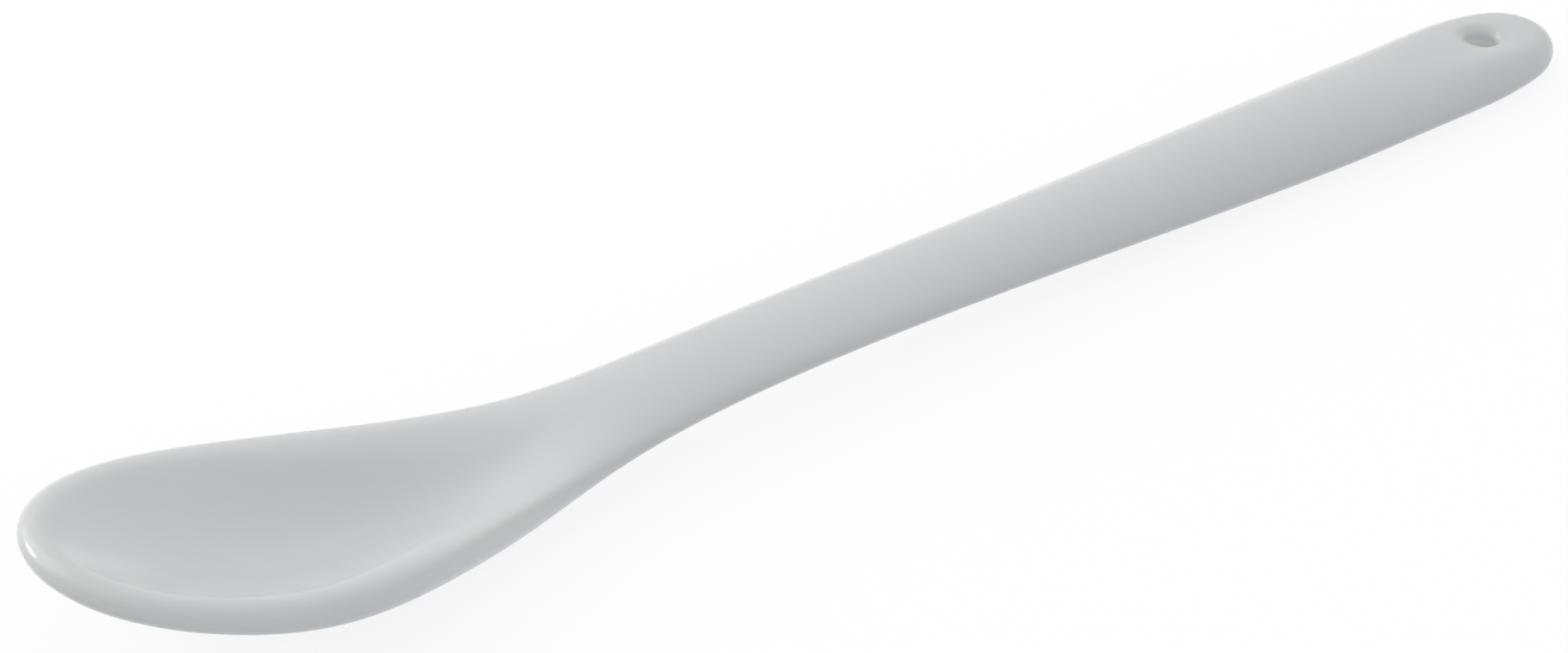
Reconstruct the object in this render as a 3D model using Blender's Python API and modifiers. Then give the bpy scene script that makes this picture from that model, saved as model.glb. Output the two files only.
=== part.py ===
"""One-piece porcelain teaspoon: the fired body and the glaze melted over it.

Units are metres. +X runs from the bowl's tip to the handle's end, +Z is up, and the table is Z = 0.
The spoon lies on two dry flats, one under the bowl and one under the handle's end.
"""
import math

import bmesh
import bpy
import numpy as np
from mathutils import Matrix, Vector

# Length from the bowl's tip to the handle's end.
LENGTH = 0.140

# Steps between the stations of the bowl and the neck, counted from the tip.
TIP_TO_NOSE = 0.003
NOSE_TO_BROW = 0.006
BROW_TO_BELLY = 0.009
BELLY_TO_HIP = 0.012
HIP_TO_FLANK = 0.008
FLANK_TO_THROAT = 0.009
THROAT_TO_NECK = 0.015

# Stations of the handle, counted from its end. The grip lies midway between the neck and the heel.
HEEL_FROM_END = 0.018
EYE_FROM_END = 0.0062
CAP_FROM_END = 0.002

# Widths of the plan outline, half way through the wall. The round lip reaches a little past them.
NOSE_WIDTH = 0.0145
BROW_WIDTH = 0.02165
BELLY_WIDTH = 0.02355
FLANK_WIDTH = 0.0143
THROAT_WIDTH = 0.01055
NECK_WIDTH = 0.00855
GRIP_WIDTH = 0.0085
HEEL_WIDTH = 0.0098
EYE_WIDTH = 0.0089
CAP_WIDTH = 0.0067

# Heights of the outline's edge, half way through the wall, before the spoon is settled on the table.
TIP_HEIGHT = 0.0121
BROW_HEIGHT = 0.0101
BELLY_HEIGHT = 0.0081
HIP_HEIGHT = 0.0062
THROAT_HEIGHT = 0.0046
NECK_HEIGHT = 0.00475
GRIP_HEIGHT = 0.0035
HEEL_HEIGHT = 0.0023
EYE_HEIGHT = 0.0021
END_HEIGHT = 0.0015

# How far the middle of the wall dips below the edge along the centre line, where the bowl is hollow.
BROW_DIP = 0.00295
BELLY_DIP = 0.00455
HIP_DIP = 0.00445
FLANK_DIP = 0.00335
THROAT_DIP = 0.0010
NECK_DIP = 0.00035

# Thickness of the wall in the bowl, and of the handle at its centre line.
TIP_THICKNESS = 0.00235
BELLY_THICKNESS = 0.0030
THROAT_THICKNESS = 0.0039
NECK_THICKNESS = 0.0038
HEEL_THICKNESS = 0.00515
EYE_THICKNESS = 0.00375
END_THICKNESS = 0.00305

# Hanging hole and the round of its two mouths.
HOLE_DIAMETER = 0.0024
MOUTH_ROUND = 0.0008

# Glaze, the gap left under it, and how far the dry flats bite into the fired body.
GLAZE_THICKNESS = 0.00012
GLAZE_GAP = 0.00005
DRY_FLAT_DEPTH = 0.00008

# Facets: ribs from tip to end, strips across, and sides and steps of the hole.
RIBS = 44
STRIPS = 18
HOLE_SIDES = 24
MOUTH_STEPS = 4

# The ribs fan out at both ends and stand square to the axis past this many fan lengths.
FAN_SPREAD = 3.4

# Points closer than this are one point.
WELD = 0.000001

# Small turn over which the outline's direction is read.
TURN_STEP = 0.0007

# Passes that settle the spoon on the table.
SETTLE_PASSES = 8

# Colours of the bare fired body and of the glaze, linear red, green and blue.
FIRED_COLOUR = (0.76, 0.75, 0.71)
GLAZE_COLOUR = (0.72, 0.73, 0.72)

NOSE_AT = TIP_TO_NOSE
BROW_AT = NOSE_AT + NOSE_TO_BROW
BELLY_AT = BROW_AT + BROW_TO_BELLY
HIP_AT = BELLY_AT + BELLY_TO_HIP
FLANK_AT = HIP_AT + HIP_TO_FLANK
THROAT_AT = FLANK_AT + FLANK_TO_THROAT
NECK_AT = THROAT_AT + THROAT_TO_NECK
HEEL_AT = LENGTH - HEEL_FROM_END
EYE_AT = LENGTH - EYE_FROM_END
CAP_AT = LENGTH - CAP_FROM_END
GRIP_AT = (NECK_AT + HEEL_AT) / 2

BODY_INSET = GLAZE_THICKNESS + GLAZE_GAP
TABLE_CUT = BODY_INSET + DRY_FLAT_DEPTH


class SmoothCurve:
    """A cubic spline through points. A flat end has no slope there, a free end has no bend."""

    def __init__(self, points, flat_start=True, flat_end=True):
        self.places, self.values = np.array(points).T
        self.gaps = np.diff(self.places)
        slopes = np.diff(self.values) / self.gaps
        count = len(self.places)
        matrix = np.eye(count)
        bends = np.zeros(count)
        for i in range(1, count - 1):
            matrix[i, i - 1:i + 2] = self.gaps[i - 1], 2 * (self.gaps[i - 1] + self.gaps[i]), self.gaps[i]
            bends[i] = 6 * (slopes[i] - slopes[i - 1])
        if flat_start:
            matrix[0, :2] = 2 * self.gaps[0], self.gaps[0]
            bends[0] = 6 * slopes[0]
        if flat_end:
            matrix[-1, -2:] = self.gaps[-1], 2 * self.gaps[-1]
            bends[-1] = -6 * slopes[-1]
        self.bends = np.linalg.solve(matrix, bends)

    def __call__(self, place):
        i = int(np.clip(np.searchsorted(self.places, place) - 1, 0, len(self.gaps) - 1))
        gap = self.gaps[i]
        after = (place - self.places[i]) / gap
        before = 1 - after
        line = before * self.values[i] + after * self.values[i + 1]
        bow = (before ** 3 - before) * self.bends[i] + (after ** 3 - after) * self.bends[i + 1]
        return float(line + bow * gap * gap / 6)


def turn_at(x):
    """Angle of a place along the spoon: 0 at the tip, pi at the end, which makes both ends round."""
    return math.acos(min(max(1 - 2 * x / LENGTH, -1.0), 1.0))


def curve_by_turn(points, **ends):
    return SmoothCurve([(turn_at(x), value) for x, value in points], **ends)


HALF_WIDTH = curve_by_turn([
    (0.0, 0.0),
    (NOSE_AT, NOSE_WIDTH / 2),
    (BROW_AT, BROW_WIDTH / 2),
    (BELLY_AT, BELLY_WIDTH / 2),
    (FLANK_AT, FLANK_WIDTH / 2),
    (THROAT_AT, THROAT_WIDTH / 2),
    (NECK_AT, NECK_WIDTH / 2),
    (GRIP_AT, GRIP_WIDTH / 2),
    (HEEL_AT, HEEL_WIDTH / 2),
    (EYE_AT, EYE_WIDTH / 2),
    (CAP_AT, CAP_WIDTH / 2),
    (LENGTH, 0.0),
], flat_start=False, flat_end=False)

EDGE_HEIGHT = curve_by_turn([
    (0.0, TIP_HEIGHT),
    (BROW_AT, BROW_HEIGHT),
    (BELLY_AT, BELLY_HEIGHT),
    (HIP_AT, HIP_HEIGHT),
    (THROAT_AT, THROAT_HEIGHT),
    (NECK_AT, NECK_HEIGHT),
    (GRIP_AT, GRIP_HEIGHT),
    (HEEL_AT, HEEL_HEIGHT),
    (EYE_AT, EYE_HEIGHT),
    (LENGTH, END_HEIGHT),
])

HALF_THICKNESS = curve_by_turn([
    (0.0, TIP_THICKNESS / 2),
    (BELLY_AT, BELLY_THICKNESS / 2),
    (THROAT_AT, THROAT_THICKNESS / 2),
    (NECK_AT, NECK_THICKNESS / 2),
    (HEEL_AT, HEEL_THICKNESS / 2),
    (EYE_AT, EYE_THICKNESS / 2),
    (LENGTH, END_THICKNESS / 2),
])

DIP = curve_by_turn([
    (0.0, 0.0),
    (BROW_AT, BROW_DIP),
    (BELLY_AT, BELLY_DIP),
    (HIP_AT, HIP_DIP),
    (FLANK_AT, FLANK_DIP),
    (THROAT_AT, THROAT_DIP),
    (NECK_AT, NECK_DIP),
    (GRIP_AT, 0.0),
    (HEEL_AT, 0.0),
    (LENGTH, 0.0),
])


def outline_point(turn):
    """Point of the plan outline on the +Y side."""
    return Vector((LENGTH * (1 - math.cos(turn)) / 2, HALF_WIDTH(turn)))


def fan(distance, centre):
    """How far a rib's foot is drawn towards a fan's centre, for a rib that leaves the end by distance."""
    return centre * max(0.0, 1 - distance / (FAN_SPREAD * centre)) ** 3


def rib_foot(x):
    """Place on the axis where the rib to outline station x starts."""
    return x + fan(x, HIP_AT) - fan(LENGTH - x, EYE_FROM_END)


def ease(x, start, end):
    """Smooth step from 0 at start to 1 at end."""
    share = min(max((x - start) / (end - start), 0.0), 1.0)
    return share * share * (3 - 2 * share)


def ellipse_share(x):
    """1 where the section is the handle's ellipse, 0 where it is a wall with a round edge, at both ends."""
    return ease(x, BELLY_AT, THROAT_AT) * (1 - ease(x, HEEL_AT, EYE_AT))


def middle_height(plan):
    """Height half way through the wall: the edge height there, less the dip of the hollow."""
    here = turn_at(plan.x)
    reach = min(plan.y / max(HALF_WIDTH(here), WELD), 1.0)
    return EDGE_HEIGHT(here) - DIP(here) * (1 - reach ** 2)


def middle_point(turn, across):
    """Point half way through the wall, and the half thickness there; across runs from -1 to 1."""
    reach = abs(across)
    edge = outline_point(turn)
    foot = Vector((rib_foot(edge.x), 0.0))
    plan = foot.lerp(edge, reach)
    along = (outline_point(turn + TURN_STEP) - outline_point(turn - TURN_STEP)).normalized()
    half = HALF_THICKNESS(turn_at(plan.x))
    depth = abs(along.cross(edge - foot))
    inward = (1 - reach) * depth
    shoulder = half + ellipse_share(edge.x) * max(depth - half, 0.0)
    thickness = half * math.sqrt(1 - (1 - min(inward / shoulder, 1.0)) ** 2)
    return Vector((plan.x, math.copysign(plan.y, across), middle_height(plan))), thickness


def spoon_form():
    """Closed mesh of the glazed spoon without its hole: an upper and a lower skin that meet at the edge."""
    bm = bmesh.new()
    half = bm.verts.layers.float.new("half_thickness")
    bmesh.ops.create_grid(bm, x_segments=RIBS, y_segments=STRIPS, size=1.0)
    for vert in bm.verts:
        turn = math.pi * (vert.co.x + 1) / 2
        across = math.sin(math.pi / 2 * vert.co.y)
        vert.co, vert[half] = middle_point(turn, across)
    bmesh.ops.remove_doubles(bm, verts=bm.verts, dist=WELD)
    bm.normal_update()
    skins = [(1, list(bm.verts))]
    copy = bmesh.ops.duplicate(bm, geom=bm.verts[:] + bm.edges[:] + bm.faces[:])["geom"]
    skins.append((-1, [item for item in copy if isinstance(item, bmesh.types.BMVert)]))
    bmesh.ops.reverse_faces(bm, faces=[item for item in copy if isinstance(item, bmesh.types.BMFace)])
    for side, verts in skins:
        for vert in verts:
            vert.co += abs(vert.normal.z) / vert.normal.z * side * vert[half] * vert.normal
    bmesh.ops.remove_doubles(bm, verts=bm.verts, dist=WELD)
    return bm


def mesh_object(name, bm, collection):
    mesh = bpy.data.meshes.new(name)
    bm.to_mesh(mesh)
    bm.free()
    obj = bpy.data.objects.new(name, mesh)
    collection.objects.link(obj)
    return obj


def hole_cutter(collection):
    """Turned cutter for the hanging hole: a straight bore that flares with a round at each mouth."""
    centre = EDGE_HEIGHT(turn_at(EYE_AT))
    top = centre + HALF_THICKNESS(turn_at(EYE_AT))
    radius = HOLE_DIAMETER / 2
    clear = MOUTH_ROUND
    upper = [(0.0, top + clear), (radius + MOUTH_ROUND, top + clear)]
    for i in range(MOUTH_STEPS + 1):
        angle = math.pi / 2 * i / MOUTH_STEPS
        flare = MOUTH_ROUND * (1 - math.sin(angle))
        upper.append((radius + flare, top - MOUTH_ROUND * (1 - math.cos(angle))))
    lower = [(x, 2 * centre - z) for x, z in reversed(upper)]
    bm = bmesh.new()
    verts = [bm.verts.new((x, 0.0, z)) for x, z in upper + lower]
    for start, end in zip(verts, verts[1:]):
        bm.edges.new((start, end))
    cutter = mesh_object("hanging_hole_cutter", bm, collection)
    cutter.location.x = EYE_AT
    turned = cutter.modifiers.new("turned", "SCREW")
    turned.steps = HOLE_SIDES
    turned.render_steps = HOLE_SIDES
    turned.use_merge_vertices = True
    turned.merge_threshold = WELD
    return cutter


def table_cutter(collection):
    """Block whose top is the table, for grinding the dry flats."""
    bm = bmesh.new()
    size = 2 * LENGTH
    bmesh.ops.create_cube(bm, size=size, matrix=Matrix.Translation((0.0, 0.0, -size / 2)))
    return mesh_object("table_cutter", bm, collection)


def cut_away(obj, cutter):
    """Take the cutter's volume out of the object, and keep the cutter as a wire guide."""
    cut = obj.modifiers.new(cutter.name, "BOOLEAN")
    cut.operation = "DIFFERENCE"
    cut.solver = "EXACT"
    cut.object = cutter
    cutter.hide_render = True
    cutter.display_type = "WIRE"


def settle(bm):
    """Turn and lower the form until bowl and handle end both dip below the table by the cut's depth."""
    bmesh.ops.translate(bm, vec=(-LENGTH / 2, 0.0, 0.0), verts=bm.verts)
    for _ in range(SETTLE_PASSES):
        bowl = min((vert.co for vert in bm.verts if vert.co.x < 0), key=lambda co: co.z)
        heel = min((vert.co for vert in bm.verts if vert.co.x > 0), key=lambda co: co.z)
        tilt = math.atan2(heel.z - bowl.z, heel.x - bowl.x)
        drop = Vector((0.0, 0.0, -TABLE_CUT - bowl.z))
        bmesh.ops.rotate(bm, cent=bowl.copy(), matrix=Matrix.Rotation(tilt, 3, "Y"), verts=bm.verts)
        bmesh.ops.translate(bm, vec=drop, verts=bm.verts)
    ends = [vert.co.x for vert in bm.verts]
    bmesh.ops.translate(bm, vec=(-(min(ends) + max(ends)) / 2, 0.0, 0.0), verts=bm.verts)


def glazed_surface(collection):
    """Triangle mesh of the spoon's outer face with its hole, settled over the table."""
    form = mesh_object("spoon_form", spoon_form(), collection)
    form.hide_render = True
    form.display_type = "WIRE"
    cut_away(form, hole_cutter(collection))
    evaluated = form.evaluated_get(bpy.context.evaluated_depsgraph_get())
    mesh = bpy.data.meshes.new_from_object(evaluated)
    bm = bmesh.new()
    bm.from_mesh(mesh)
    bpy.data.meshes.remove(mesh)
    bmesh.ops.remove_doubles(bm, verts=bm.verts, dist=WELD)
    bmesh.ops.triangulate(bm, faces=bm.faces)
    settle(bm)
    bm.normal_update()
    return bm


def principled(name, colour, roughness, ior):
    material = bpy.data.materials.new(name)
    material.use_nodes = True
    shader = material.node_tree.nodes["Principled BSDF"]
    shader.inputs["Base Color"].default_value = (*colour, 1.0)
    shader.inputs["Roughness"].default_value = roughness
    shader.inputs["Metallic"].default_value = 0.0
    shader.inputs["IOR"].default_value = ior
    return material


def finish(obj, material, parent):
    obj.data.shade_smooth()
    obj.data.materials.append(material)
    obj.parent = parent


def porcelain_body(surface, collection, cutters):
    """Fired body: the surface drawn in under the glaze, ground to its two dry flats."""
    bm = surface.copy()
    bm.normal_update()
    inset = [vert.normal * BODY_INSET for vert in bm.verts]
    for vert, step in zip(bm.verts, inset):
        vert.co -= step
    body = mesh_object("porcelain_body", bm, collection)
    cut_away(body, table_cutter(cutters))
    return body


def glaze_coat(surface, collection):
    """Glaze: the surface as a skin, open at the dry flats, given its thickness inwards."""
    bm = surface.copy()
    geom = bm.verts[:] + bm.edges[:] + bm.faces[:]
    bmesh.ops.bisect_plane(
        bm, geom=geom, dist=WELD, plane_co=(0.0, 0.0, 0.0), plane_no=(0.0, 0.0, 1.0), clear_inner=True)
    coat = mesh_object("glaze_coat", bm, collection)
    skin = coat.modifiers.new("glaze", "SOLIDIFY")
    skin.thickness = GLAZE_THICKNESS
    skin.offset = -1.0
    return coat


def main():
    for obj in list(bpy.data.objects):
        bpy.data.objects.remove(obj, do_unlink=True)
    parts = bpy.data.collections.new("ceramic_teaspoon")
    cutters = bpy.data.collections.new("cutters")
    for collection in (parts, cutters):
        bpy.context.scene.collection.children.link(collection)
    frame = bpy.data.objects.new("teaspoon_frame", None)
    parts.objects.link(frame)
    surface = glazed_surface(cutters)
    body = porcelain_body(surface, parts, cutters)
    coat = glaze_coat(surface, parts)
    finish(body, principled("fired_porcelain", FIRED_COLOUR, roughness=0.55, ior=1.54), frame)
    finish(coat, principled("white_glaze", GLAZE_COLOUR, roughness=0.12, ior=1.52), frame)
    surface.free()


main()
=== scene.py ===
"""Looks of a glazed porcelain teaspoon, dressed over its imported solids.

The spoon is drawn again as one fine surface, from the same named sizes as its solids. The glaze skin and
the fired body under it are made from that surface, and each takes the place of its solid. Sizes are in
metres, +X runs from the bowl's tip to the handle's end, and the table is Z = 0.
"""
import logging
import math
from dataclasses import dataclass, fields
from enum import Enum
from functools import cached_property

import bmesh
import bpy
import numpy as np
from mathutils import Matrix, Quaternion, Vector
from mathutils.bvhtree import BVHTree


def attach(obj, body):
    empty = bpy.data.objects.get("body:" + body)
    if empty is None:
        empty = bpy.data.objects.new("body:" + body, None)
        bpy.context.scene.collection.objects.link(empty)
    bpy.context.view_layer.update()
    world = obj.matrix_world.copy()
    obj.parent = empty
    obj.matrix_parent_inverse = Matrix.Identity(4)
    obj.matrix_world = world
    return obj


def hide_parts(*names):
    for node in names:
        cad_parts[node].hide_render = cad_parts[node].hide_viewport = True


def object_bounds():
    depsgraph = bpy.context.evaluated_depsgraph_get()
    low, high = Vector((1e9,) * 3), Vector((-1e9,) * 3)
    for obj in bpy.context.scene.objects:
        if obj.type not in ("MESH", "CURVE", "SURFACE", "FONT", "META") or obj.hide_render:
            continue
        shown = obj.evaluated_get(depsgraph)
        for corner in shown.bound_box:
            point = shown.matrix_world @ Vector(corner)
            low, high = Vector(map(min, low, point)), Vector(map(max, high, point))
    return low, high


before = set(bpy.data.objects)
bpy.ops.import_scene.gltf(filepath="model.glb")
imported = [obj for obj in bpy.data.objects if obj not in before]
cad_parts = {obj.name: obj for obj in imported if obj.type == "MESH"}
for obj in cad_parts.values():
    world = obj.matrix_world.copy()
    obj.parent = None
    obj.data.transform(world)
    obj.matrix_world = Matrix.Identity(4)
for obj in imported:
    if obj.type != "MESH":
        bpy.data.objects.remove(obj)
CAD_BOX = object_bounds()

LOG = logging.getLogger("teaspoon")
MILLIMETRE = 0.001
BODY = "root"

# Points closer than this are one point.
WELD = 1e-7

# Faces that meet at a larger angle than this show an edge.
SHARP_ANGLE = math.radians(40)


class CurveEnd(Enum):
    """How a smooth curve leaves its first and last point."""

    FREE = "no bend"
    FLAT = "no slope"


class Skin(Enum):
    """The two faces of the spoon's wall, and the way each lies from the middle of the wall."""

    UPPER = 1
    LOWER = -1


class SmoothCurve:
    """Cubic spline through a few points along the spoon."""

    def __init__(self, points: list[tuple[float, float]], end: CurveEnd) -> None:
        """Solves the spline.

        Args:
            points: Pairs of place and value, in rising order of place.
            end: How the curve leaves its two ends.
        """
        self.places, self.values = np.array(points).T
        self.gaps = np.diff(self.places)
        slopes = np.diff(self.values) / self.gaps
        count = len(self.places)
        matrix = np.eye(count)
        bends = np.zeros(count)
        for i in range(1, count - 1):
            before, after = self.gaps[i - 1:i + 1]
            matrix[i, i - 1:i + 2] = before, 2 * (before + after), after
            bends[i] = 6 * (slopes[i] - slopes[i - 1])
        if end is CurveEnd.FLAT:
            matrix[0, :2] = 2 * self.gaps[0], self.gaps[0]
            bends[0] = 6 * slopes[0]
            matrix[-1, -2:] = self.gaps[-1], 2 * self.gaps[-1]
            bends[-1] = -6 * slopes[-1]
        self.bends = np.linalg.solve(matrix, bends)

    def __call__(self, place: np.ndarray) -> np.ndarray:
        """Reads the curve.

        Args:
            place: Places along the curve.

        Returns:
            The values there.
        """
        i = np.clip(np.searchsorted(self.places, place) - 1, 0, len(self.gaps) - 1)
        gap = self.gaps[i]
        after = (place - self.places[i]) / gap
        before = 1 - after
        line = before * self.values[i] + after * self.values[i + 1]
        bow = (before ** 3 - before) * self.bends[i] + (after ** 3 - after) * self.bends[i + 1]
        return line + bow * gap * gap / 6


def ease(x: np.ndarray, start: float, end: float) -> np.ndarray:
    """Smooth step from 0 at start to 1 at end."""
    share = np.clip((x - start) / (end - start), 0.0, 1.0)
    return share * share * (3 - 2 * share)


@dataclass(frozen=True)
class Station:
    """A named cut across the spoon. A size that is left out follows from the stations beside it.

    Attributes:
        at: Distance from the bowl's tip.
        width: Width of the plan outline.
        edge: Height of the outline's edge, half way through the wall.
        dip: How far the middle of the wall lies below that edge, on the centre line.
        thickness: Thickness of the wall on the centre line.
    """

    at: float
    width: float | None = None
    edge: float | None = None
    dip: float | None = None
    thickness: float | None = None


@dataclass(frozen=True)
class SpoonForm:
    """The spoon's shape. Its stations stand in order from the bowl's tip to the handle's end.

    Attributes:
        hole_diameter: Diameter of the hanging hole, at the eye.
        mouth_round: Radius of the hole's rounded mouths.
        fan_spread: How many lengths of a fan its ribs take to stand square to the axis again.
        turn_step: Small step of angle, for the direction of the outline.
    """

    tip: Station = Station(at=0.0, width=0.0, edge=0.0121, dip=0.0, thickness=0.00235)
    nose: Station = Station(at=0.003, width=0.0145)
    brow: Station = Station(at=0.009, width=0.02165, edge=0.0101, dip=0.00295)
    belly: Station = Station(at=0.018, width=0.02355, edge=0.0081, dip=0.00455, thickness=0.0030)
    hip: Station = Station(at=0.030, edge=0.0062, dip=0.00445)
    flank: Station = Station(at=0.038, width=0.0143, dip=0.00335)
    throat: Station = Station(at=0.047, width=0.01055, edge=0.0046, dip=0.0010, thickness=0.0039)
    neck: Station = Station(at=0.062, width=0.00855, edge=0.00475, dip=0.00035, thickness=0.0038)
    grip: Station = Station(at=0.092, width=0.0085, edge=0.0035, dip=0.0)
    heel: Station = Station(at=0.122, width=0.0098, edge=0.0023, dip=0.0, thickness=0.00515)
    eye: Station = Station(at=0.1338, width=0.0089, edge=0.0021, thickness=0.00375)
    cap: Station = Station(at=0.138, width=0.0067)
    end: Station = Station(at=0.140, width=0.0, edge=0.0015, dip=0.0, thickness=0.00305)
    hole_diameter: float = 0.0024
    mouth_round: float = 0.0008
    fan_spread: float = 3.4
    turn_step: float = 0.0007

    def turn_at(self, x: np.ndarray) -> np.ndarray:
        """Angle of a place along the spoon: 0 at the tip, pi at the end, which makes both ends round."""
        return np.arccos(np.clip(1 - 2 * x / self.end.at, -1.0, 1.0))

    def curve(self, size: str, end: CurveEnd) -> SmoothCurve:
        """Runs a smooth curve through one size of the stations.

        Args:
            size: Name of the size.
            end: How the curve leaves the tip and the handle's end.

        Returns:
            The curve, read by angle along the spoon.
        """
        stations = [getattr(self, item.name) for item in fields(self) if item.type is Station]
        known = [station for station in stations if getattr(station, size) is not None]
        return SmoothCurve([(float(self.turn_at(s.at)), getattr(s, size)) for s in known], end)

    @cached_property
    def width(self) -> SmoothCurve:
        """Width of the plan outline."""
        return self.curve("width", CurveEnd.FREE)

    @cached_property
    def edge(self) -> SmoothCurve:
        """Height of the outline's edge."""
        return self.curve("edge", CurveEnd.FLAT)

    @cached_property
    def dip(self) -> SmoothCurve:
        """Depth of the hollow below the edge."""
        return self.curve("dip", CurveEnd.FLAT)

    @cached_property
    def thickness(self) -> SmoothCurve:
        """Thickness of the wall on the centre line."""
        return self.curve("thickness", CurveEnd.FLAT)

    def outline(self, turn: np.ndarray) -> np.ndarray:
        """Points of the plan outline on the +Y side."""
        return np.stack([self.end.at * (1 - np.cos(turn)) / 2, self.width(turn) / 2], axis=-1)

    def fan(self, distance: np.ndarray, centre: float) -> np.ndarray:
        """How far a rib's foot is drawn to a fan's centre, for a rib that leaves the end by distance."""
        return centre * np.clip(1 - distance / (self.fan_spread * centre), 0.0, None) ** 3

    def ellipse_share(self, x: np.ndarray) -> np.ndarray:
        """1 where the section is the handle's ellipse, 0 where it is a wall with a round edge."""
        return ease(x, self.belly.at, self.throat.at) * (1 - ease(x, self.heel.at, self.eye.at))

    def middle(self, turn: np.ndarray, across: np.ndarray) -> tuple[np.ndarray, np.ndarray]:
        """Points half way through the wall.

        Args:
            turn: Angles of the ribs along the spoon.
            across: Places along each rib, from -1 at one edge to 1 at the other.

        Returns:
            The points, and half the wall's thickness at each.
        """
        reach = np.abs(across)[None, :]
        edge = self.outline(turn)
        after = self.end.at - edge[:, 0]
        from_end = self.end.at - self.eye.at
        foot = edge[:, 0] + self.fan(edge[:, 0], self.hip.at) - self.fan(after, from_end)
        x = foot[:, None] + (edge[:, 0] - foot)[:, None] * reach
        y = edge[:, 1:] * across[None, :]
        here = self.turn_at(x)
        out = np.minimum(np.abs(y) / np.maximum(self.width(here) / 2, WELD), 1.0)
        z = self.edge(here) - self.dip(here) * (1 - out ** 2)

        along = self.outline(turn + self.turn_step) - self.outline(turn - self.turn_step)
        along /= np.linalg.norm(along, axis=1, keepdims=True)
        depth = np.abs(along[:, 0] * edge[:, 1] - along[:, 1] * (edge[:, 0] - foot))[:, None]
        half = self.thickness(here) / 2
        shoulder = half + self.ellipse_share(edge[:, :1]) * np.maximum(depth - half, 0.0)
        inward = np.minimum((1 - reach) * depth / shoulder, 1.0)
        return np.stack([x, y, z], axis=-1), half * np.sqrt(1 - (1 - inward) ** 2)


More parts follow.
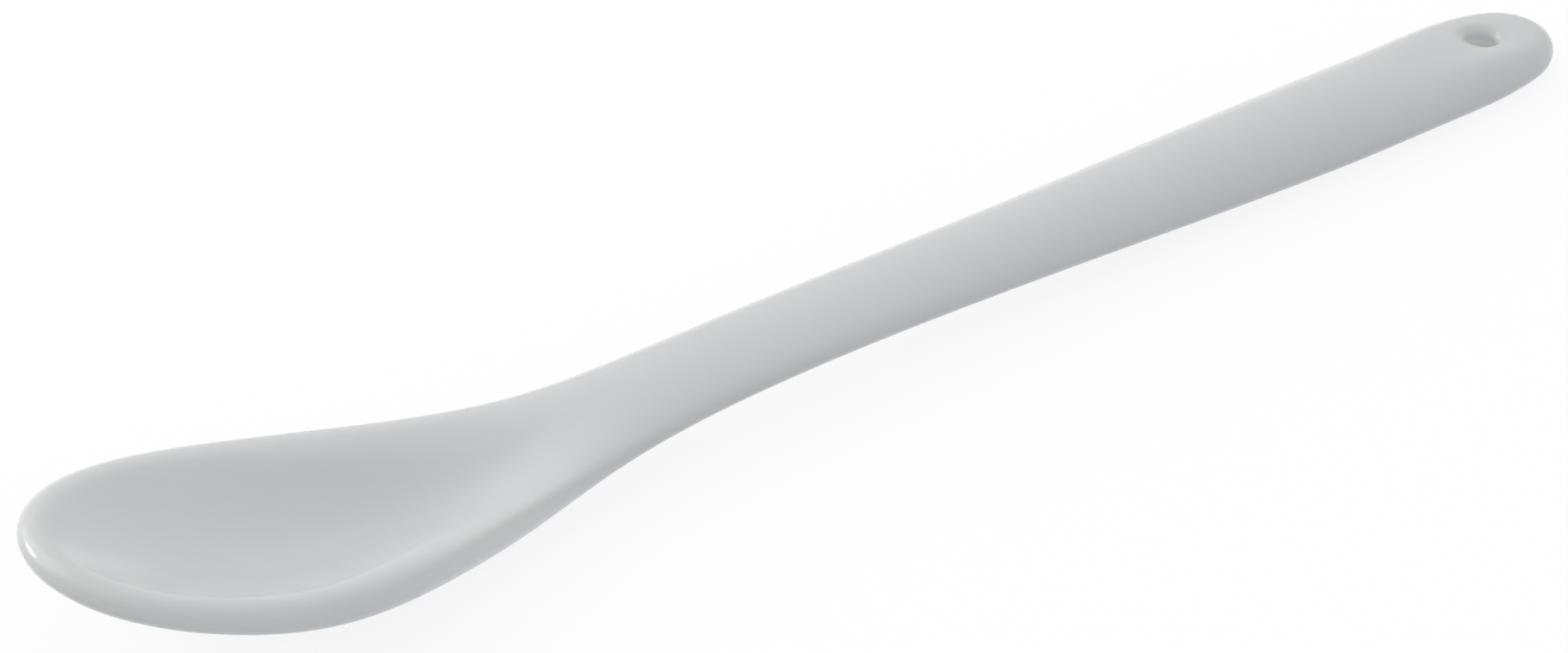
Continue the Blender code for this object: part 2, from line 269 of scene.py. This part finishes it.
@dataclass(frozen=True)
class SpoonSurface:
    """Fine closed surface of the glazed spoon, with its hanging hole, settled on the table.

    Attributes:
        form: The shape that is meshed.
        ribs: Steps from the tip to the end.
        strips: Steps across.
        eye_back: Distance before the hole at which the faces round it begin.
        eye_strips: Strips to either side of the axis that these faces take in.
        collar_rings: Rings from there to the mouth.
        mouth_rings: Rings over each rounded mouth.
        bore_rings: Rings through the bore.
        table_cut: Depth below the table of the glazed form, which the dry flats take away.
        settle_passes: Turns that it takes the spoon to come to rest.
    """

    form: SpoonForm = SpoonForm()
    ribs: int = 176
    strips: int = 48
    eye_back: float = 0.0027
    eye_strips: int = 10
    collar_rings: int = 7
    mouth_rings: int = 8
    bore_rings: int = 8
    table_cut: float = 0.00025
    settle_passes: int = 8

    def build(self) -> bmesh.types.BMesh:
        """Makes the surface.

        Returns:
            The closed mesh, whose lowest points dip below the table by the depth of the dry flats.
        """
        bm = self.closed_form()
        self.open_eye(bm)
        self.settle(bm)
        self.fit(bm)
        bm.normal_update()
        return bm

    def closed_form(self) -> bmesh.types.BMesh:
        """Makes the upper and the lower skin of the spoon from the middle of its wall.

        Returns:
            The two skins, joined at the edge, with no hole yet.
        """
        bm = bmesh.new()
        rib = bm.verts.layers.int.new("rib")
        strip = bm.verts.layers.int.new("strip")
        skin = bm.verts.layers.int.new("skin")
        half = bm.verts.layers.float.new("half_thickness")
        bmesh.ops.create_grid(bm, x_segments=self.ribs, y_segments=self.strips, size=1.0)
        turn = np.linspace(0.0, math.pi, self.ribs + 1)
        across = np.sin(np.linspace(-math.pi / 2, math.pi / 2, self.strips + 1))
        points, halves = self.form.middle(turn, across)
        for vert in bm.verts:
            i = round((vert.co.x + 1) / 2 * self.ribs)
            j = round((vert.co.y + 1) / 2 * self.strips)
            vert.co = points[i, j]
            vert[rib] = i
            vert[strip] = abs(j - self.strips // 2)
            vert[half] = halves[i, j]
        bmesh.ops.remove_doubles(bm, verts=bm.verts, dist=WELD)
        bm.normal_update()
        skins = {Skin.UPPER: bm.verts[:]}
        copy = bmesh.ops.duplicate(bm, geom=bm.verts[:] + bm.edges[:] + bm.faces[:])["geom"]
        skins[Skin.LOWER] = [item for item in copy if isinstance(item, bmesh.types.BMVert)]
        lower_faces = [item for item in copy if isinstance(item, bmesh.types.BMFace)]
        bmesh.ops.reverse_faces(bm, faces=lower_faces)
        for side, verts in skins.items():
            for vert in verts:
                vert[skin] = side.value
                up = math.copysign(1.0, vert.normal.z) * vert.normal
                vert.co += side.value * vert[half] * up
        bmesh.ops.remove_doubles(bm, verts=bm.verts, dist=WELD)
        return bm

    def open_eye(self, bm: bmesh.types.BMesh) -> None:
        """Replaces the faces round the hanging hole by rings that run over its mouths and through it.

        Args:
            bm: The closed form, which gets its hole.
        """
        rib = bm.verts.layers.int["rib"]
        strip = bm.verts.layers.int["strip"]
        skin = bm.verts.layers.int["skin"]
        skins = BVHTree.FromBMesh(bm)
        start = self.form.eye.at - self.eye_back
        first = max(v[rib] for v in bm.verts if v[strip] == 0 and v.co.x < start)
        block = [
            face for face in bm.faces
            if all(v[rib] >= first and v[strip] <= self.eye_strips for v in face.verts)]
        bmesh.ops.delete(bm, geom=block, context="FACES")
        border = {vert for edge in bm.edges if edge.is_boundary for vert in edge.verts}
        rings: dict[Skin, list[list[bmesh.types.BMVert]]] = {}
        for side in Skin:
            loop = sorted((v for v in border if v[skin] == side.value), key=self.angle_at_eye)
            rings[side] = self.mouth(bm, skins, loop, side)
        top = rings[Skin.UPPER][-1]
        foot = rings[Skin.LOWER][-1]
        bore = [
            [bm.verts.new(a.co.lerp(b.co, n / self.bore_rings)) for a, b in zip(top, foot)]
            for n in range(1, self.bore_rings)]
        through = rings[Skin.UPPER] + bore + rings[Skin.LOWER][::-1]
        for upper, lower in zip(through, through[1:]):
            for n, vert in enumerate(upper):
                bm.faces.new((upper[n - 1], vert, lower[n], lower[n - 1]))
        bmesh.ops.recalc_face_normals(bm, faces=bm.faces)

    def angle_at_eye(self, vert: bmesh.types.BMVert) -> float:
        """Angle of a point round the hole, counted from just before the handle's end."""
        start = math.pi / self.ribs
        return (math.atan2(vert.co.y, vert.co.x - self.form.eye.at) + start) % (2 * math.pi)

    def mouth(
        self,
        bm: bmesh.types.BMesh,
        skins: BVHTree,
        loop: list[bmesh.types.BMVert],
        side: Skin,
    ) -> list[list[bmesh.types.BMVert]]:
        """Rings from the border of the cleared faces over the rounded mouth and into the bore.

        Args:
            bm: The mesh that takes the new points.
            skins: The spoon's skins before the hole was opened.
            loop: Border of the cleared faces, in order round the hole.
            side: The skin that the mouth is on.

        Returns:
            The rings in order, the border first.
        """
        bore = self.form.hole_diameter / 2
        lip = bore + self.form.mouth_round
        eye = Vector((self.form.eye.at, 0.0))
        ways = [(vert.co.xy - eye).normalized() for vert in loop]
        rings = [loop]
        for n in range(1, self.collar_rings + 1):
            ring = []
            for vert, way in zip(loop, ways):
                plan = vert.co.xy.lerp(eye + lip * way, n / self.collar_rings)
                start = plan.to_3d() + Vector((0.0, 0.0, side.value * self.form.end.at))
                ring.append(bm.verts.new(skins.ray_cast(start, Vector((0.0, 0.0, -side.value)))[0]))
            rings.append(ring)
        rim = rings[-1]
        for n in range(1, self.mouth_rings + 1):
            angle = math.pi / 2 * n / self.mouth_rings
            radius = bore + self.form.mouth_round * (1 - math.sin(angle))
            sunk = self.form.mouth_round * (1 - math.cos(angle))
            ring = []
            for vert, way in zip(rim, ways):
                plan = eye + radius * way
                ring.append(bm.verts.new((plan.x, plan.y, vert.co.z - side.value * sunk)))
            rings.append(ring)
        return rings

    def settle(self, bm: bmesh.types.BMesh) -> None:
        """Turns and lowers the spoon until bowl and handle both dip below the table by the flats' depth.

        Args:
            bm: The surface, which is moved.
        """
        bmesh.ops.translate(bm, vec=(-self.form.end.at / 2, 0.0, 0.0), verts=bm.verts)
        for _ in range(self.settle_passes):
            bowl = min((vert.co for vert in bm.verts if vert.co.x < 0), key=lambda co: co.z).copy()
            heel = min((vert.co for vert in bm.verts if vert.co.x > 0), key=lambda co: co.z).copy()
            tilt = math.atan2(heel.z - bowl.z, heel.x - bowl.x)
            bmesh.ops.rotate(bm, cent=bowl, matrix=Matrix.Rotation(tilt, 3, "Y"), verts=bm.verts)
            bmesh.ops.translate(bm, vec=(0.0, 0.0, -self.table_cut - bowl.z), verts=bm.verts)
        ends = [vert.co.x for vert in bm.verts]
        bmesh.ops.translate(bm, vec=(-(min(ends) + max(ends)) / 2, 0.0, 0.0), verts=bm.verts)

    def fit(self, bm: bmesh.types.BMesh) -> None:
        """Draws the surface in to the box of the solids, whose coarser facets lie a little inside it.

        Args:
            bm: The surface, which is scaled in length and width.
        """
        reach = [max(vert.co[axis] for vert in bm.verts) for axis in range(2)]
        shares = [min((CAD_BOX[1][axis] - WELD) / reach[axis], 1.0) for axis in range(2)]
        bmesh.ops.scale(bm, vec=(*shares, 1.0), verts=bm.verts)


def linear(colour: str) -> tuple[float, float, float, float]:
    """Turns a written colour into light, by the curve of the sRGB standard.

    Args:
        colour: An sRGB colour in hex, such as #ffffff.

    Returns:
        Linear red, green, blue and alpha.
    """
    shares = [int(colour[n:n + 2], 16) / 255 for n in (1, 3, 5)]
    values = [s / 12.92 if s <= 0.04045 else ((s + 0.055) / 1.055) ** 2.4 for s in shares]
    return (*values, 1.0)


def add_node(
    tree: bpy.types.NodeTree,
    kind: str,
    settings: dict[str, object] | None = None,
    inputs: dict[str | int, object] | None = None,
) -> bpy.types.Node:
    """Adds a node with its settings and links.

    Args:
        tree: The node tree that takes the node.
        kind: The node's type name.
        settings: The node's own properties.
        inputs: For each input, a value or the output socket that is linked to it.

    Returns:
        The new node.
    """
    node = tree.nodes.new(kind)
    for name, value in (settings or {}).items():
        setattr(node, name, value)
    for name, value in (inputs or {}).items():
        if isinstance(value, bpy.types.NodeSocket):
            tree.links.new(value, node.inputs[name])
        else:
            node.inputs[name].default_value = value
    return node


def new_material(name: str) -> tuple[bpy.types.Material, bpy.types.NodeTree]:
    """Makes a node material with no nodes yet.

    Args:
        name: What the material is.

    Returns:
        The material and its node tree.
    """
    material = bpy.data.materials.new(name)
    material.use_nodes = True
    material.node_tree.nodes.clear()
    return material, material.node_tree


@dataclass(frozen=True)
class WhiteGlaze:
    """White porcelain under a clear feldspar glaze, dipped and fired to a glassy skin.

    It gives the eye a cool white, a little duller where the glaze has run thin over an edge. Tight
    hollows, chiefly the hole, are painted lighter, as painted light in their shade. Its gloss is clear
    with a soft haze round it, and the surface is not quite even: long low waves along the spoon, faint
    clouds and a rare dark speck.
    """

    # The fired white, its change where the glaze is thin, and painted light: a lighter colour in tight
    # hollows.
    colour: str = "#d5d7d9"
    thin_colour: str = "#c9cbc9"
    # Painted light: tight hollows, chiefly the hole, are lightened towards this colour against their
    # shade.
    painted_hollow_light_colour: str = "#f3f6f2"
    # The glaze reflects twice: softly from its fine unevenness, and clearly from its glassy top.
    haze_roughness: float = 0.22
    haze_level: float = 0.21
    gloss_roughness: float = 0.05
    gloss_weight: float = 0.24
    ior: float = 1.5
    # How far light spreads in porcelain. Green goes farthest, so thin edges look faintly green.
    spread: tuple[float, float, float] = (1.0, 1.03, 0.97)
    spread_scale: float = 2.8 * MILLIMETRE
    # Low waves, which the wet glaze left along the spoon.
    wave_width: float = 2.6 * MILLIMETRE
    wave_length: float = 24 * MILLIMETRE
    wave_height: float = 0.016 * MILLIMETRE
    wave_detail: float = 2.0
    # Faint clouds, where the glaze is a little thicker or thinner.
    cloud_size: float = 9 * MILLIMETRE
    cloud_depth: float = 0.02
    cloud_detail: float = 3.0
    # Real specks are about a tenth of a millimetre. They are drawn at three times that, so they show.
    speck_size: float = 0.3 * MILLIMETRE
    speck_spacing: float = 7 * MILLIMETRE
    speck_depth: float = 0.10

    def material(self) -> bpy.types.Material:
        """Builds the node material.

        Returns:
            The material.
        """
        material, tree = new_material("glazed_porcelain")
        place = add_node(tree, "ShaderNodeTexCoord").outputs["Object"]
        thin = add_node(tree, "ShaderNodeAttribute", {
            "attribute_name": "glaze_thin"}).outputs["Fac"]
        # Painted light: share of the lighter colour painted into tight hollows, chiefly the hole.
        painted_light_share = add_node(tree, "ShaderNodeAttribute", {
            "attribute_name": "painted_hollow_light"}).outputs["Fac"]
        even = add_node(tree, "ShaderNodeMix", {"data_type": "RGBA"}, {
            "Factor": thin, "A": linear(self.colour),
            "B": linear(self.thin_colour)}).outputs["Result"]
        body = add_node(tree, "ShaderNodeMix", {"data_type": "RGBA"}, {
            "Factor": painted_light_share, "A": even,
            "B": linear(self.painted_hollow_light_colour)}).outputs["Result"]
        cloud = add_node(tree, "ShaderNodeTexNoise", inputs={
            "Vector": place, "Scale": 1 / self.cloud_size, "Detail": self.cloud_detail}).outputs["Fac"]
        shade = add_node(tree, "ShaderNodeMapRange", inputs={
            "Value": cloud,
            "To Min": 1 - self.cloud_depth, "To Max": 1 + self.cloud_depth}).outputs["Result"]
        cell = add_node(tree, "ShaderNodeTexVoronoi", inputs={
            "Vector": place, "Scale": 1 / self.speck_spacing}).outputs["Distance"]
        reach = self.speck_size / 2 / self.speck_spacing
        speck = add_node(tree, "ShaderNodeMapRange", {"interpolation_type": "SMOOTHSTEP"}, {
            "Value": cell, "From Min": reach / 2, "From Max": reach,
            "To Min": 1 - self.speck_depth, "To Max": 1.0}).outputs["Result"]
        dull = add_node(tree, "ShaderNodeMath", {"operation": "MULTIPLY"}, {
            0: shade, 1: speck}).outputs[0]
        colour = add_node(tree, "ShaderNodeVectorMath", {"operation": "SCALE"}, {
            0: body, "Scale": dull}).outputs["Vector"]
        stretch = (1 / self.wave_length, 1 / self.wave_width, 1 / self.wave_width)
        waves = add_node(tree, "ShaderNodeTexNoise", inputs={
            "Vector": add_node(tree, "ShaderNodeVectorMath", {"operation": "MULTIPLY"}, {
                0: place, 1: stretch}).outputs["Vector"],
            "Scale": 1.0, "Detail": self.wave_detail}).outputs["Fac"]
        relief = add_node(tree, "ShaderNodeBump", inputs={
            "Strength": 1.0, "Distance": self.wave_height, "Height": waves}).outputs["Normal"]
        shader = add_node(tree, "ShaderNodeBsdfPrincipled", inputs={
            "Base Color": colour, "IOR": self.ior, "Normal": relief,
            "Roughness": self.haze_roughness, "Specular IOR Level": self.haze_level,
            "Coat Weight": self.gloss_weight, "Coat Roughness": self.gloss_roughness,
            "Coat IOR": self.ior, "Coat Normal": relief,
            "Subsurface Weight": 1.0, "Subsurface Radius": self.spread,
            "Subsurface Scale": self.spread_scale}).outputs["BSDF"]
        add_node(tree, "ShaderNodeOutputMaterial", inputs={"Surface": shader})
        return material


@dataclass(frozen=True)
class BareFiredPorcelain:
    """Dense white porcelain, fired without glaze and ground flat.

    It gives the eye a matt and faintly warm white with a fine grain.
    """

    colour: str = "#e2dfd6"
    grain_colour: str = "#d3cfc4"
    roughness: float = 0.62
    ior: float = 1.54
    # Real grain is a few hundredths of a millimetre. It is drawn coarser, so that it shows.
    grain_size: float = 0.18 * MILLIMETRE
    grain_height: float = 0.006 * MILLIMETRE
    grain_detail: float = 4.0

    def material(self) -> bpy.types.Material:
        """Builds the node material.

        Returns:
            The material.
        """
        material, tree = new_material("bare_fired_porcelain")
        place = add_node(tree, "ShaderNodeTexCoord").outputs["Object"]
        grain = add_node(tree, "ShaderNodeTexNoise", inputs={
            "Vector": place, "Scale": 1 / self.grain_size, "Detail": self.grain_detail}).outputs["Fac"]
        colour = add_node(tree, "ShaderNodeMix", {"data_type": "RGBA"}, {
            "Factor": grain, "A": linear(self.colour),
            "B": linear(self.grain_colour)}).outputs["Result"]
        relief = add_node(tree, "ShaderNodeBump", inputs={
            "Strength": 1.0, "Distance": self.grain_height, "Height": grain}).outputs["Normal"]
        shader = add_node(tree, "ShaderNodeBsdfPrincipled", inputs={
            "Base Color": colour, "Roughness": self.roughness, "IOR": self.ior,
            "Normal": relief}).outputs["BSDF"]
        add_node(tree, "ShaderNodeOutputMaterial", inputs={"Surface": shader})
        return material


def mesh_object(name: str, bm: bmesh.types.BMesh) -> bpy.types.Object:
    """Makes a smooth mesh object in the scene and frees the mesh data that it came from.

    Args:
        name: The piece's name.
        bm: The piece's mesh.

    Returns:
        The new object.
    """
    mesh = bpy.data.meshes.new(name)
    bm.to_mesh(mesh)
    bm.free()
    mesh.shade_smooth()
    mesh.set_sharp_from_angle(angle=SHARP_ANGLE)
    piece = bpy.data.objects.new(name, mesh)
    bpy.context.scene.collection.objects.link(piece)
    return piece


def cut_at_table(bm: bmesh.types.BMesh) -> list[bmesh.types.BMEdge]:
    """Removes what lies below the table.

    Args:
        bm: The mesh, which is cut open.

    Returns:
        The edges of the cut.
    """
    geom = bm.verts[:] + bm.edges[:] + bm.faces[:]
    cut = bmesh.ops.bisect_plane(
        bm, geom=geom, dist=WELD, plane_co=(0.0, 0.0, 0.0), plane_no=(0.0, 0.0, 1.0), clear_inner=True)
    edges = [item for item in cut["geom_cut"] if isinstance(item, bmesh.types.BMEdge)]
    for vert in {vert for edge in edges for vert in edge.verts}:
        vert.co.z = 0.0
    return edges


@dataclass
class GlazeSkin:
    """The glaze: a thin glassy skin, open at the two dry flats.

    Attributes:
        surface: The spoon's outer surface.
        thickness: Thickness of the skin.
        thin_bend: Bend of an edge, in 1/m, over which the glaze is thinnest.
        painted_hollow_light_bend: Bend of a hollow, in 1/m, at which the painted light in it is full.
        smooth_passes: How often the bend is evened out among neighbours.
        short_step: Steps to a neighbour that are shorter than this say nothing about the bend.
    """

    surface: bmesh.types.BMesh
    thickness: float = 0.00012
    thin_bend: float = -700.0
    painted_hollow_light_bend: float = 450.0
    smooth_passes: int = 4
    short_step: float = 0.00002

    def build(self) -> bpy.types.Object:
        """Makes the skin from the outer surface.

        Returns:
            The piece, riding on the spoon in place of its solid.
        """
        bm = self.surface.copy()
        self.turn_in(bm, cut_at_table(bm))
        bm.normal_update()
        bend = self.bend(bm)
        piece = mesh_object("glaze_skin", bm)
        # The second share is painted light, which lightens tight hollows, chiefly the hole.
        for name, limit in (("glaze_thin", self.thin_bend), ("painted_hollow_light", self.painted_hollow_light_bend)):
            layer = piece.data.attributes.new(name, "FLOAT", "POINT")
            layer.data.foreach_set("value", np.clip(bend / limit, 0.0, 1.0))
        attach(piece, BODY)
        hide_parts("glaze_coat")
        return piece

    def turn_in(self, bm: bmesh.types.BMesh, border: list[bmesh.types.BMEdge]) -> None:
        """Shows the skin's thickness at the dry flats. Elsewhere the skin has no back, so light enters.

        Args:
            bm: The skin.
            border: Its edges round the flats.
        """
        ways = {vert: vert.normal.xy.normalized().to_3d() for edge in border for vert in edge.verts}
        inner = {vert: bm.verts.new(vert.co - self.thickness * way) for vert, way in ways.items()}
        for edge in border:
            loop = edge.link_loops[0]
            here = loop.vert
            onward = loop.link_loop_next.vert
            bm.faces.new((onward, here, inner[here], inner[onward]))

    def bend(self, bm: bmesh.types.BMesh) -> np.ndarray:
        """How the surface bends. Glaze runs thin over edges, and tight hollows get painted light.

        Args:
            bm: The skin's outer face.

        Returns:
            The bend at each point in 1/m, evened out: below 0 over an edge, above 0 in a hollow.
        """
        bm.verts.index_update()
        bend = np.zeros(len(bm.verts))
        for vert in bm.verts:
            steps = [edge.other_vert(vert).co - vert.co for edge in vert.link_edges]
            steps = [step for step in steps if step.length > self.short_step]
            if steps:
                bends = [2 * vert.normal.dot(step) / step.length_squared for step in steps]
                bend[vert.index] = np.mean(bends)
        sides = np.array([[vert.index for vert in edge.verts] for edge in bm.edges])
        count = np.bincount(sides.ravel(), minlength=len(bend))
        for _ in range(self.smooth_passes):
            total = np.bincount(sides[:, 0], bend[sides[:, 1]], len(bend))
            total += np.bincount(sides[:, 1], bend[sides[:, 0]], len(bend))
            bend = (bend + total / count) / 2
        return bend

    def dress(self, piece: bpy.types.Object, finish: WhiteGlaze) -> None:
        """Gives the piece its finish."""
        piece.data.materials.append(finish.material())


@dataclass
class FiredBody:
    """The fired porcelain under the glaze, bare where it was ground to the two dry flats.

    Attributes:
        surface: The spoon's outer surface.
        inset: How far the body lies below it.
    """

    surface: bmesh.types.BMesh
    inset: float = 0.00017

    def build(self) -> bpy.types.Object:
        """Makes the body by drawing the outer surface in under the glaze.

        Returns:
            The piece, riding on the spoon in place of its solid.
        """
        bm = self.surface.copy()
        bm.normal_update()
        steps = [vert.normal * self.inset for vert in bm.verts]
        for vert, step in zip(bm.verts, steps):
            vert.co -= step
        bmesh.ops.edgeloop_fill(bm, edges=cut_at_table(bm))
        bmesh.ops.recalc_face_normals(bm, faces=bm.faces)
        piece = mesh_object("fired_body", bm)
        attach(piece, BODY)
        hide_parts("porcelain_body")
        return piece

    def dress(self, piece: bpy.types.Object, finish: BareFiredPorcelain) -> None:
        """Gives the piece its finish."""
        piece.data.materials.append(finish.material())


def seen_directly(tree: bpy.types.NodeTree) -> bpy.types.NodeSocket:
    """Adds the test for a ray that shows the background: from the camera, a reflection or glass.

    Args:
        tree: The node tree that takes the test.

    Returns:
        A socket that is 1 for such a ray and 0 for the rest.
    """
    path = add_node(tree, "ShaderNodeLightPath").outputs
    mirrored = add_node(tree, "ShaderNodeMath", {"operation": "MAXIMUM"}, {
        0: path["Is Glossy Ray"], 1: path["Is Transmission Ray"]}).outputs[0]
    return add_node(tree, "ShaderNodeMath", {"operation": "MAXIMUM"}, {
        0: path["Is Camera Ray"], 1: mirrored}).outputs[0]


@dataclass(frozen=True)
class PaperSweep:
    """White paper under the spoon. The eye sees it as plain white with a faint soft shadow.

    Attributes:
        size: Side of the square sheet.
        paper: Colour that lights the spoon from below.
        shadow: Colour of the part of the white that the shadow takes away.
        glow: The rest of the white, which the paper gives to the camera and to reflections.
    """

    size: float = 8.0
    paper: str = "#cdd0d1"
    shadow: str = "#6a6a6a"
    glow: float = 0.87

    def build(self) -> None:
        """Lays the sheet on the table, as stage."""
        bm = bmesh.new()
        bmesh.ops.create_grid(bm, x_segments=1, y_segments=1, size=self.size / 2)
        sheet = mesh_object("paper_sweep", bm)
        sheet.data.materials.append(self.material())

    def material(self) -> bpy.types.Material:
        """Builds the node material.

        Returns:
            The material.
        """
        material, tree = new_material("white_paper")
        seen = seen_directly(tree)
        paper, shadow = [
            add_node(tree, "ShaderNodeBsdfDiffuse", inputs={"Color": linear(colour)}).outputs[0]
            for colour in (self.paper, self.shadow)]
        glow = add_node(tree, "ShaderNodeEmission", inputs={"Strength": self.glow}).outputs[0]
        white = add_node(tree, "ShaderNodeAddShader", inputs={0: shadow, 1: glow}).outputs[0]
        look = add_node(tree, "ShaderNodeMixShader", inputs={0: seen, 1: paper, 2: white}).outputs[0]
        add_node(tree, "ShaderNodeOutputMaterial", inputs={"Surface": look})
        return material


def towards(azimuth: float, elevation: float) -> Vector:
    """Direction from the spoon to a place round it.

    Args:
        azimuth: Side of the spoon, in degrees; 0 lies at -Y, as seen along +Y.
        elevation: Height above the table, in degrees.

    Returns:
        The direction, of length 1.
    """
    a = math.radians(azimuth)
    e = math.radians(elevation)
    return Vector((math.sin(a) * math.cos(e), -math.cos(a) * math.cos(e), math.sin(e)))


@dataclass(frozen=True)
class SoftLamp:
    """A square lamp that faces the spoon.

    Attributes:
        name: Name of the lamp.
        azimuth: Side that it stands on, in degrees, as the camera's.
        elevation: Height above the table, in degrees.
        distance: Distance from the spoon.
        size: Side of its face.
        power: Power in watts.
        colour: Colour of its light.
        glint: True for a lamp that only shows as a reflection in the gloss.
    """

    name: str
    azimuth: float
    elevation: float
    distance: float
    size: float
    power: float
    colour: str = "#ffffff"
    glint: bool = False

    def build(self) -> None:
        """Hangs the lamp."""
        light = bpy.data.lights.new(self.name, "AREA")
        light.size = self.size
        light.energy = self.power
        light.color = linear(self.colour)[:3]
        lamp = bpy.data.objects.new(self.name, light)
        lamp.location = self.distance * towards(self.azimuth, self.elevation)
        lamp.rotation_euler = lamp.location.to_track_quat("Z", "Y").to_euler()
        lamp.visible_diffuse = not self.glint
        bpy.context.scene.collection.objects.link(lamp)


@dataclass(frozen=True)
class Studio:
    """Paper sweep, soft light and the camera at the photograph's angle.

    Attributes:
        sweep: The paper under the spoon.
        lamps: The lamps round it.
        room_colour: Colour of the even light from all round.
        room_level: Strength of that light.
        azimuth: Side that the camera stands on, in degrees; 0 looks along +Y.
        elevation: Its height above the table, in degrees.
        roll: Its turn about its own axis, in degrees.
        distance: Its distance from the spoon.
        lens_mm: Its focal length.
        aim_right: How far it is moved to its right, for the photograph's framing.
        aim_up: How far it is moved up.
    """

    sweep: PaperSweep = PaperSweep()
    lamps: tuple[SoftLamp, ...] = (
        SoftLamp(
            "back_softbox", azimuth=202.0, elevation=30.0, distance=1.3, size=1.3, power=7.6),
        SoftLamp(
            "window_glint", azimuth=203.0, elevation=14.0, distance=1.3, size=0.3, power=3.5,
            glint=True),
        SoftLamp(
            "front_fill", azimuth=5.0, elevation=12.0, distance=1.3, size=1.2, power=2.5,
            colour="#ccd8ff"),
    )
    room_colour: str = "#fffefd"
    room_level: float = 0.70
    azimuth: float = -38.27
    elevation: float = 33.88
    roll: float = 0.134
    distance: float = 0.8252
    lens_mm: float = 256.9
    aim_right: float = -0.00318
    aim_up: float = 0.00299

    def build(self) -> None:
        """Sets up the stage, the light and the camera."""
        self.sweep.build()
        for lamp in self.lamps:
            lamp.build()
        self.room()
        self.camera()
        bpy.context.scene.view_settings.view_transform = "Standard"

    def room(self) -> None:
        """Gives an even light from all round."""
        world = bpy.data.worlds.new("pale_room")
        world.use_nodes = True
        tree = world.node_tree
        tree.nodes.clear()
        light = add_node(tree, "ShaderNodeBackground", inputs={
            "Color": linear(self.room_colour), "Strength": self.room_level}).outputs[0]
        add_node(tree, "ShaderNodeOutputWorld", inputs={"Surface": light})
        bpy.context.scene.world = world

    def camera(self) -> None:
        """Places the camera on its side of the spoon, aimed a little off the spoon's origin."""
        back = towards(self.azimuth, self.elevation)
        turned = back.to_track_quat("Z", "Y") @ Quaternion((0.0, 0.0, 1.0), math.radians(self.roll))
        right = turned @ Vector((1.0, 0.0, 0.0))
        up = turned @ Vector((0.0, 1.0, 0.0))
        eye = bpy.data.objects.new("camera", bpy.data.cameras.new("camera"))
        eye.data.lens = self.lens_mm
        eye.location = self.distance * back + self.aim_right * right + self.aim_up * up
        eye.rotation_euler = turned.to_euler()
        bpy.context.scene.collection.objects.link(eye)
        bpy.context.scene.camera = eye


def main() -> None:
    """Builds and dresses the spoon, then its studio."""
    logging.basicConfig(level=logging.INFO, format="%(name)s: %(message)s")
    surface = SpoonSurface().build()
    glaze = GlazeSkin(surface)
    skin = glaze.build()
    glaze.dress(skin, WhiteGlaze())
    LOG.info("%s: %d faces", skin.name, len(skin.data.polygons))
    fired = FiredBody(surface)
    body = fired.build()
    fired.dress(body, BareFiredPorcelain())
    LOG.info("%s: %d faces", body.name, len(body.data.polygons))
    surface.free()
    studio = Studio()
    studio.build()
    LOG.info("studio: camera, %d lamps, paper sweep", len(studio.lamps))


if __name__ == "__main__":
    main()
